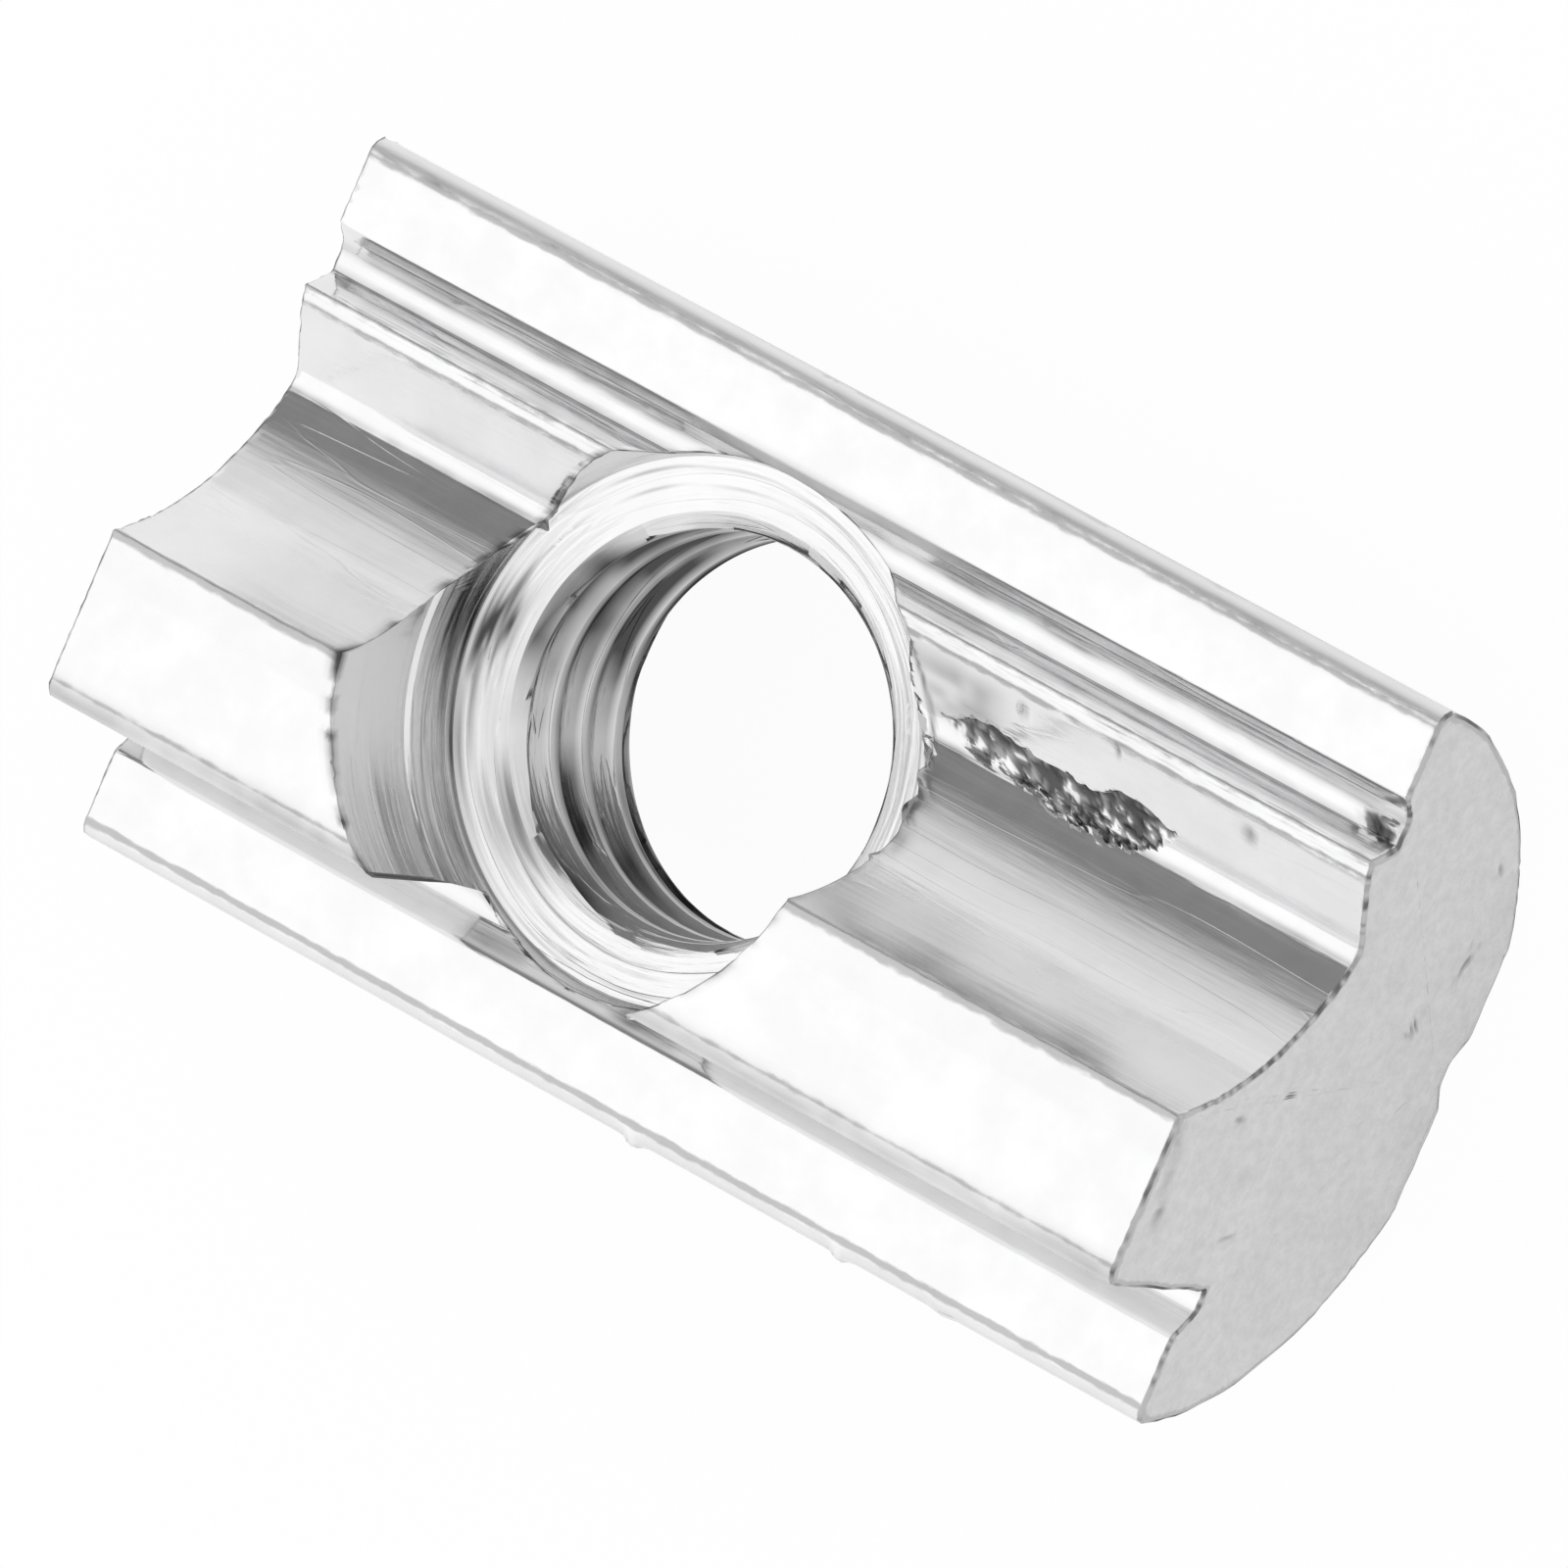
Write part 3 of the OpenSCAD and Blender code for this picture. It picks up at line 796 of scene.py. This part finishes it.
def joined_rings(turn_a, turn_b):
    """Triangles between two rings: each step along one ring takes the last point passed on the other."""
    count_a, count_b = len(turn_a), len(turn_b)
    ahead_a, ahead_b = np.r_[turn_a[1:], 2 * np.pi + turn_a[0]], np.r_[turn_b[1:], 2 * np.pi + turn_b[0]]
    passed_b = np.searchsorted(np.r_[turn_b, ahead_b[-1]], ahead_a, side="left") - 1
    passed_a = np.searchsorted(np.r_[turn_a, ahead_a[-1]], ahead_b, side="right") - 1
    a, b = np.arange(count_a), np.arange(count_b)
    steps_a = np.stack([a, (a + 1) % count_a, count_a + passed_b % count_b], axis=-1)
    steps_b = np.stack([passed_a % count_a, count_a + (b + 1) % count_b, count_a + b], axis=-1)
    return np.vstack([steps_a, steps_b])


points = np.vstack([bottom_ring, back_rim])
turns_here = np.r_[ring_turn, back_turn]
grain = wall_grain(turns_here, points[:, 2] * 2)
add_block(points, joined_rings(ring_turn, back_turn), grain, bored=1)


SAME_PLACE = 1e-5
# Edges are shaded sharp from this many degrees between their faces
SHARP_FROM = 38


def merged_mesh(name):
    """One closed mesh of triangles: corner values are set first, then points at one place are joined."""
    starts = np.cumsum([0] + [len(block[0]) for block in blocks])
    points, grain, finish = (np.vstack([block[part] for block in blocks]) for part in (0, 2, 3))
    steps = np.round(points / SAME_PLACE)
    _, kept, place = np.unique(steps, axis=0, return_index=True, return_inverse=True)
    place = place.ravel()
    halves = [
        block[1][:, pick] + start
        for block, start in zip(blocks, starts)
        for pick in ([0, 1, 2], [0, 2, 3])
        if block[1].shape[1] > max(pick)
    ]
    corners = np.vstack(halves)
    ends = place[corners]
    whole = (ends[:, 0] != ends[:, 1]) & (ends[:, 1] != ends[:, 2]) & (ends[:, 2] != ends[:, 0])
    corners, ends = corners[whole].ravel(), ends[whole].ravel()
    grain, finish = grain[corners], finish[corners]
    mesh = bpy.data.meshes.new(name)
    mesh.vertices.add(len(kept))
    mesh.vertices.foreach_set("co", (points[kept] * MM).astype(np.float32).ravel())
    mesh.loops.add(len(ends))
    mesh.loops.foreach_set("vertex_index", ends.astype(np.int32))
    mesh.polygons.add(len(ends) // 3)
    mesh.polygons.foreach_set("loop_start", np.arange(0, len(ends), 3, dtype=np.int32))
    mesh.update()
    grain = grain.astype(np.float32).ravel()
    mesh.attributes.new("grain", "FLOAT_VECTOR", "CORNER").data.foreach_set("vector", grain)
    for column, label in enumerate(("sawn", "bored", "worn", "dull_and_shade", "matt_and_sheen")):
        values = np.ascontiguousarray(finish[:, column], np.float32)
        mesh.attributes.new(label, "FLOAT", "CORNER").data.foreach_set("value", values)
    shell = bmesh.new()
    shell.from_mesh(mesh)
    bmesh.ops.recalc_face_normals(shell, faces=shell.faces)
    shell.to_mesh(mesh)
    shell.free()
    mesh.shade_smooth()
    mesh.set_sharp_from_angle(angle=np.radians(SHARP_FROM))
    return mesh


nut_body = new_object("t_slot_nut", merged_mesh("t_slot_nut"))


# Nut body: bright zinc on the drawn steel.
# A thin, bright, slightly blue-grey plating that follows every drawn line. It turns matt on the sawn ends,
# carries fine turning rings in the hole, and is thin, rough and darker along the outer corners. Its colour
# also carries painted shade in corners, pits and the hole, and a painted sheen on the mouth's upper wall.
ZINC_COLOUR = (0.84, 0.84, 0.845, 1)
SAWN_COLOUR = (0.67, 0.67, 0.675, 1)
WORN_COLOUR = (0.52, 0.52, 0.52, 1)
PAINTED_SHEEN_COLOUR = (1, 1, 1, 1)
SHADE_AND_DULL_COLOUR = (0.075, 0.075, 0.075, 1)
SHADE_AND_DULL_TINT = (0.3, 0.3, 0.3, 1)
BORED_DEEPER = 1.2
MATT_ROUGHER = 0.3
DRAWN_ROUGHNESS, BORED_ROUGHNESS, WORN_ROUGHNESS, SAWN_ROUGHNESS = 0.13, 0.16, 0.42, 0.52
# Heights of the bump in millimetres: broad and fine grooves, hairlines and sawn grit
BROAD_HEIGHT, FINE_HEIGHT, HAIRLINE_DEPTH, GRIT_HEIGHT = 0.010, 0.0028, 0.0012, 0.016
HAIRLINE_REACH = 0.012
# Noise from and to, and what that becomes: shade of the plating clouds and mottle of the sawn ends
CLOUD_SHADE, SAWN_MOTTLE = (0.3, 0.7, 0.95, 1.0), (0.3, 0.7, 0.94, 1.05)
CLOUD_ROUGHER = 0.16
# How much noise breaks the corners' wear, and the sums where it starts and is whole
EDGE_BREAK, WORN_RANGE = 0.9, (0.75, 1.15)
WHITE = (1, 1, 1, 1)


def add_node(tree, kind, inputs=None, **settings):
    """A node of this kind: settings go on it, and inputs by name or number are links or plain values."""
    made = tree.nodes.new(kind)
    for name, value in settings.items():
        setattr(made, name, value)
    for name, value in (inputs or {}).items():
        if isinstance(value, bpy.types.NodeSocket):
            tree.links.new(value, made.inputs[name])
        else:
            made.inputs[name].default_value = value
    return made


def add_math(tree, operation, *values):
    """The result of a math node on links or numbers."""
    return add_node(tree, "ShaderNodeMath", dict(enumerate(values)), operation=operation).outputs[0]


def add_scaled(tree, vector, scale):
    """A vector or colour times a value."""
    return add_node(tree, "ShaderNodeVectorMath", {0: vector, 3: scale}, operation="SCALE").outputs[0]


def add_noise(tree, vector, **inputs):
    """The value of a noise texture."""
    return add_node(tree, "ShaderNodeTexNoise", {"Vector": vector, **inputs}).outputs[0]


def add_attribute(tree, name, output="Fac"):
    """A value kept on the mesh."""
    made = add_node(tree, "ShaderNodeAttribute", attribute_name=name, attribute_type="GEOMETRY")
    return made.outputs[output]


def add_range(tree, value, low, high, to_low=0.0, to_high=1.0):
    """A value eased from one range to another and held at its ends."""
    inputs = {"Value": value, "From Min": low, "From Max": high, "To Min": to_low, "To Max": to_high}
    return add_node(tree, "ShaderNodeMapRange", inputs, interpolation_type="SMOOTHSTEP").outputs[0]


def add_blend(tree, share, first, second):
    """A colour between two others."""
    inputs = {"Factor": share, 6: first, 7: second}
    return add_node(tree, "ShaderNodeMix", inputs, data_type="RGBA").outputs[2]


def add_group(tree, group, **inputs):
    """The outputs of a node group."""
    return add_node(tree, "ShaderNodeGroup", inputs, node_tree=group).outputs


def new_group(name, inputs, outputs):
    """An empty node group: its tree, input node and output node. Only the input Worn is a number."""
    group = bpy.data.node_groups.new(name, "ShaderNodeTree")
    for label in inputs:
        kind = "NodeSocketFloat" if label == "Worn" else "NodeSocketVector"
        group.interface.new_socket(label, in_out="INPUT", socket_type=kind)
    for label in outputs:
        group.interface.new_socket(label, in_out="OUTPUT", socket_type="NodeSocketFloat")
    return group, group.nodes.new("NodeGroupInput"), group.nodes.new("NodeGroupOutput")


def tool_lines_group():
    """Grooves along the grain, and thin hairlines where a soft noise crosses its middle value."""
    group, start, finish = new_group("tool_lines", ["Grain"], ["Height"])
    grain = start.outputs["Grain"]
    broad = add_math(group, "MULTIPLY", add_noise(group, grain, Scale=2.6, Detail=2), BROAD_HEIGHT)
    fine = add_math(group, "MULTIPLY", add_noise(group, grain, Scale=11, Detail=3), FINE_HEIGHT)
    line = add_noise(group, grain, Scale=1.9, Detail=1)
    off_middle = add_math(group, "ABSOLUTE", add_math(group, "SUBTRACT", line, 0.5))
    hairline = add_range(group, off_middle, HAIRLINE_REACH, 0.0)
    scratch = add_math(group, "MULTIPLY", hairline, HAIRLINE_DEPTH)
    height = add_math(group, "SUBTRACT", add_math(group, "ADD", broad, fine), scratch)
    group.links.new(height, finish.inputs["Height"])
    return group


def edge_wear_group():
    """The worn attribute of the corners broken up by a fine noise, so that the line comes and goes."""
    group, start, finish = new_group("edge_wear", ["Worn", "Place"], ["Mask"])
    inputs = {0: start.outputs["Place"], 1: (0.4, 1, 1)}
    drawn_out = add_node(group, "ShaderNodeVectorMath", inputs, operation="MULTIPLY").outputs[0]
    rough = add_noise(group, drawn_out, Scale=6, Detail=4)
    level = add_math(group, "ADD", start.outputs["Worn"], add_math(group, "MULTIPLY", rough, EDGE_BREAK))
    group.links.new(add_range(group, level, *WORN_RANGE), finish.inputs["Mask"])
    return group


def sawn_grit_group():
    """A torn matt face: fine grit, and the faint mottle that goes with it."""
    group, start, finish = new_group("sawn_grit", ["Place"], ["Height", "Mottle"])
    grit = add_noise(group, start.outputs["Place"], Scale=4, Detail=4, Roughness=0.75)
    group.links.new(add_math(group, "MULTIPLY", grit, GRIT_HEIGHT), finish.inputs["Height"])
    group.links.new(add_range(group, grit, *SAWN_MOTTLE), finish.inputs["Mottle"])
    return group


def new_material(name):
    """A material with an empty tree, and the tree."""
    material = bpy.data.materials.new(name)
    material.use_nodes = True
    material.node_tree.nodes.clear()
    return material, material.node_tree


def zinc_material():
    """Metal whose colour, roughness and bump are mixed from drawn, bored, sawn, worn and cloudy places; its
    colour also carries painted shade and painted sheen.
    """
    material, tree = new_material("bright_zinc")
    names = ("sawn", "bored", "worn", "dull_and_shade", "matt_and_sheen")
    sawn, bored, wear, dull_and_shade, matt_and_sheen = (add_attribute(tree, name) for name in names)
    place = add_scaled(tree, add_node(tree, "ShaderNodeTexCoord").outputs["Object"], 1 / MM)
    lines = add_group(tree, tool_lines_group(), Grain=add_attribute(tree, "grain", "Vector"))
    clouds = add_noise(tree, place, Scale=0.9, Detail=3, Roughness=0.62)
    worn = add_group(tree, edge_wear_group(), Worn=wear, Place=place)["Mask"]
    grit = add_group(tree, sawn_grit_group(), Place=place)

    mottled = add_scaled(tree, SAWN_COLOUR[:3], grit["Mottle"])
    colour = add_blend(tree, sawn, ZINC_COLOUR, mottled)
    # Painted sheen: matt places in the bore are whitened
    colour = add_blend(tree, add_math(tree, "MULTIPLY", bored, matt_and_sheen), colour, PAINTED_SHEEN_COLOUR)
    colour = add_blend(tree, worn, colour, WORN_COLOUR)
    # Painted shade, with grey patches and a smeared strip: darkens the colour towards near black
    colour = add_blend(tree, dull_and_shade, colour, SHADE_AND_DULL_COLOUR)
    shaded = add_scaled(tree, colour, add_range(tree, clouds, *CLOUD_SHADE))

    roughness = add_range(tree, bored, 0, 1, DRAWN_ROUGHNESS, BORED_ROUGHNESS)
    cloudy = add_math(tree, "MULTIPLY", add_math(tree, "SUBTRACT", clouds, 0.5), CLOUD_ROUGHER)
    blurred = add_math(tree, "MULTIPLY", matt_and_sheen, MATT_ROUGHER)
    roughness = add_math(tree, "ADD", roughness, add_math(tree, "ADD", cloudy, blurred))
    for mask, level in ((worn, WORN_ROUGHNESS), (sawn, SAWN_ROUGHNESS)):
        step = add_math(tree, "MULTIPLY", add_math(tree, "SUBTRACT", level, roughness), mask)
        roughness = add_math(tree, "ADD", roughness, step)

    smooth = add_math(tree, "SUBTRACT", 1.0, sawn)
    deep = add_math(tree, "ADD", smooth, add_math(tree, "MULTIPLY", bored, BORED_DEEPER))
    drawn = add_math(tree, "MULTIPLY", lines["Height"], deep)
    torn = add_math(tree, "MULTIPLY", grit["Height"], add_math(tree, "MAXIMUM", sawn, wear))
    inputs = {"Strength": 1.0, "Distance": MM, "Height": add_math(tree, "ADD", drawn, torn)}
    metal = add_node(tree, "ShaderNodeBsdfPrincipled", {
        "Base Color": shaded,
        # Painted shade also greys the tint of the metal's reflections
        "Specular Tint": add_blend(tree, dull_and_shade, WHITE, SHADE_AND_DULL_TINT),
        "Metallic": 1.0,
        "Roughness": roughness,
        "Normal": add_node(tree, "ShaderNodeBump", inputs).outputs[0],
    })
    add_node(tree, "ShaderNodeOutputMaterial", {"Surface": metal.outputs[0]})
    return material


nut_body.data.materials.append(zinc_material())
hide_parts("nut_body")
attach(nut_body, "root")


# Floor.
# A white paper sweep that fills the picture. It shows as plain white and keeps only a faint soft shadow.
FLOOR_SIDE = 6.0
PAPER_COLOUR = (0.9, 0.9, 0.9, 1)
# Share of the floor that is plain white to the camera; the rest is lit paper, which holds the shadow
SEEN_WHITE = 0.95
# Beyond these distances the floor is plain white
WHITE_FROM, WHITE_TO = 0.016, 0.020
# In reflections the floor is white, with a painted shadow that darkens it to this under the nut, within
# these distances
PAINTED_SHADOW_LEVEL = 0.72
SHADE_FROM, SHADE_TO = 0.006, 0.014


def floor_material():
    """White to the camera, with a share of lit paper for the shadow; in reflections it carries a painted
    shadow under the nut.
    """
    material, tree = new_material("white_paper")
    rays = add_node(tree, "ShaderNodeLightPath").outputs
    seen = add_math(tree, "MAXIMUM", rays["Is Camera Ray"], rays["Is Transmission Ray"])
    seen = add_math(tree, "MULTIPLY", seen, SEEN_WHITE)
    place = add_node(tree, "ShaderNodeTexCoord").outputs["Object"]
    away = add_node(tree, "ShaderNodeVectorMath", {0: place}, operation="LENGTH").outputs["Value"]
    share = add_math(tree, "MAXIMUM", seen, rays["Is Glossy Ray"])
    share = add_math(tree, "MAXIMUM", share, add_range(tree, away, WHITE_FROM, WHITE_TO))
    paper = add_node(tree, "ShaderNodeBsdfDiffuse", {"Color": PAPER_COLOUR}).outputs[0]
    # Painted shadow in reflections: the floor's glow dims near the nut
    shade = add_range(tree, away, SHADE_FROM, SHADE_TO, PAINTED_SHADOW_LEVEL, 1.0)
    strength = add_math(tree, "MAXIMUM", shade, add_math(tree, "SUBTRACT", 1.0, rays["Is Glossy Ray"]))
    glow = add_node(tree, "ShaderNodeEmission", {"Color": WHITE, "Strength": strength}).outputs[0]
    both = add_node(tree, "ShaderNodeMixShader", {0: share, 1: paper, 2: glow}).outputs[0]
    add_node(tree, "ShaderNodeOutputMaterial", {"Surface": both})
    return material


floor_mesh = bpy.data.meshes.new("floor")
half_floor = FLOOR_SIDE / 2
floor_corners = [(x * half_floor, y * half_floor, 0) for x, y in ((-1, -1), (1, -1), (1, 1), (-1, 1))]
floor_mesh.from_pydata(floor_corners, [], [(0, 1, 2, 3)])
floor_mesh.materials.append(floor_material())
floor = new_object("floor", floor_mesh)


# Grey card.
# A curved card beyond the low side that only reflections see. It is dark along its upper edge and pales
# downwards, and gives the channel's hollow flank its dark foot and its slow change to light grey.
CARD_DISTANCE, CARD_LIFT = 0.25, 0.006
CARD_ENDS = (-0.45, 0.25)
CARD_TURNS = [58.5, 57, 50, 43, 37, 34, 31, 28, 25, 22, 18, 15, 9, 3, 0, -4]
CARD_GLOW = [0.27, 0.27, 0.27, 0.24, 0.25, 0.36, 0.36, 0.50, 0.60, 0.66, 0.74, 0.79, 0.83, 0.86, 0.88, 0.95]


def card_material():
    """Light as strong as the card's own glow attribute."""
    material, tree = new_material("grey_card")
    inputs = {"Color": WHITE, "Strength": add_attribute(tree, "glow")}
    light = add_node(tree, "ShaderNodeEmission", inputs).outputs[0]
    add_node(tree, "ShaderNodeOutputMaterial", {"Surface": light})
    return material


card_turn = np.radians(CARD_TURNS)
card_x, card_angle = np.meshgrid(CARD_ENDS, card_turn, indexing="ij")
card_y = CARD_DISTANCE * np.cos(card_angle)
card_z = CARD_DISTANCE * np.sin(card_angle) + CARD_LIFT
card_points = np.stack([card_x, card_y, card_z], axis=-1).reshape(-1, 3)
card_mesh = bpy.data.meshes.new("grey_card")
card_mesh.from_pydata(card_points.tolist(), [], quads(2, len(card_turn), False).tolist())
card_mesh.attributes.new("glow", "FLOAT", "POINT").data.foreach_set("value", CARD_GLOW * 2)
card_mesh.materials.append(card_material())
card = new_object("grey_card", card_mesh)
card.visible_camera = card.visible_diffuse = card.visible_shadow = card.visible_transmission = False


# Studio light.
# One large softbox above and behind the far end whitens the level faces, and a white room lights the rest.
SOFTBOX_TOWARDS = np.array([-0.5, -0.2, 0.85])
SOFTBOX_DISTANCE = 0.5
SOFTBOX_SIZE = (0.54, 0.7)
SOFTBOX_GLOW = 0.2

softbox_place = SOFTBOX_DISTANCE * SOFTBOX_TOWARDS / np.linalg.norm(SOFTBOX_TOWARDS)
softbox_data = bpy.data.lights.new("softbox", "AREA")
softbox_data.shape = "RECTANGLE"
softbox_data.size, softbox_data.size_y = SOFTBOX_SIZE
softbox_data.energy = SOFTBOX_GLOW * np.pi * SOFTBOX_SIZE[0] * SOFTBOX_SIZE[1]
softbox = new_object("softbox", softbox_data)
softbox.matrix_world = facing((0, 1, 0), softbox_place, softbox_place)
softbox.visible_camera = False

world = bpy.data.worlds.new("white_room")
world.use_nodes = True
room = world.node_tree.nodes["Background"].inputs
room["Color"].default_value, room["Strength"].default_value = WHITE, 1.0
bpy.context.scene.world = world
bpy.context.scene.view_settings.view_transform = "Standard"
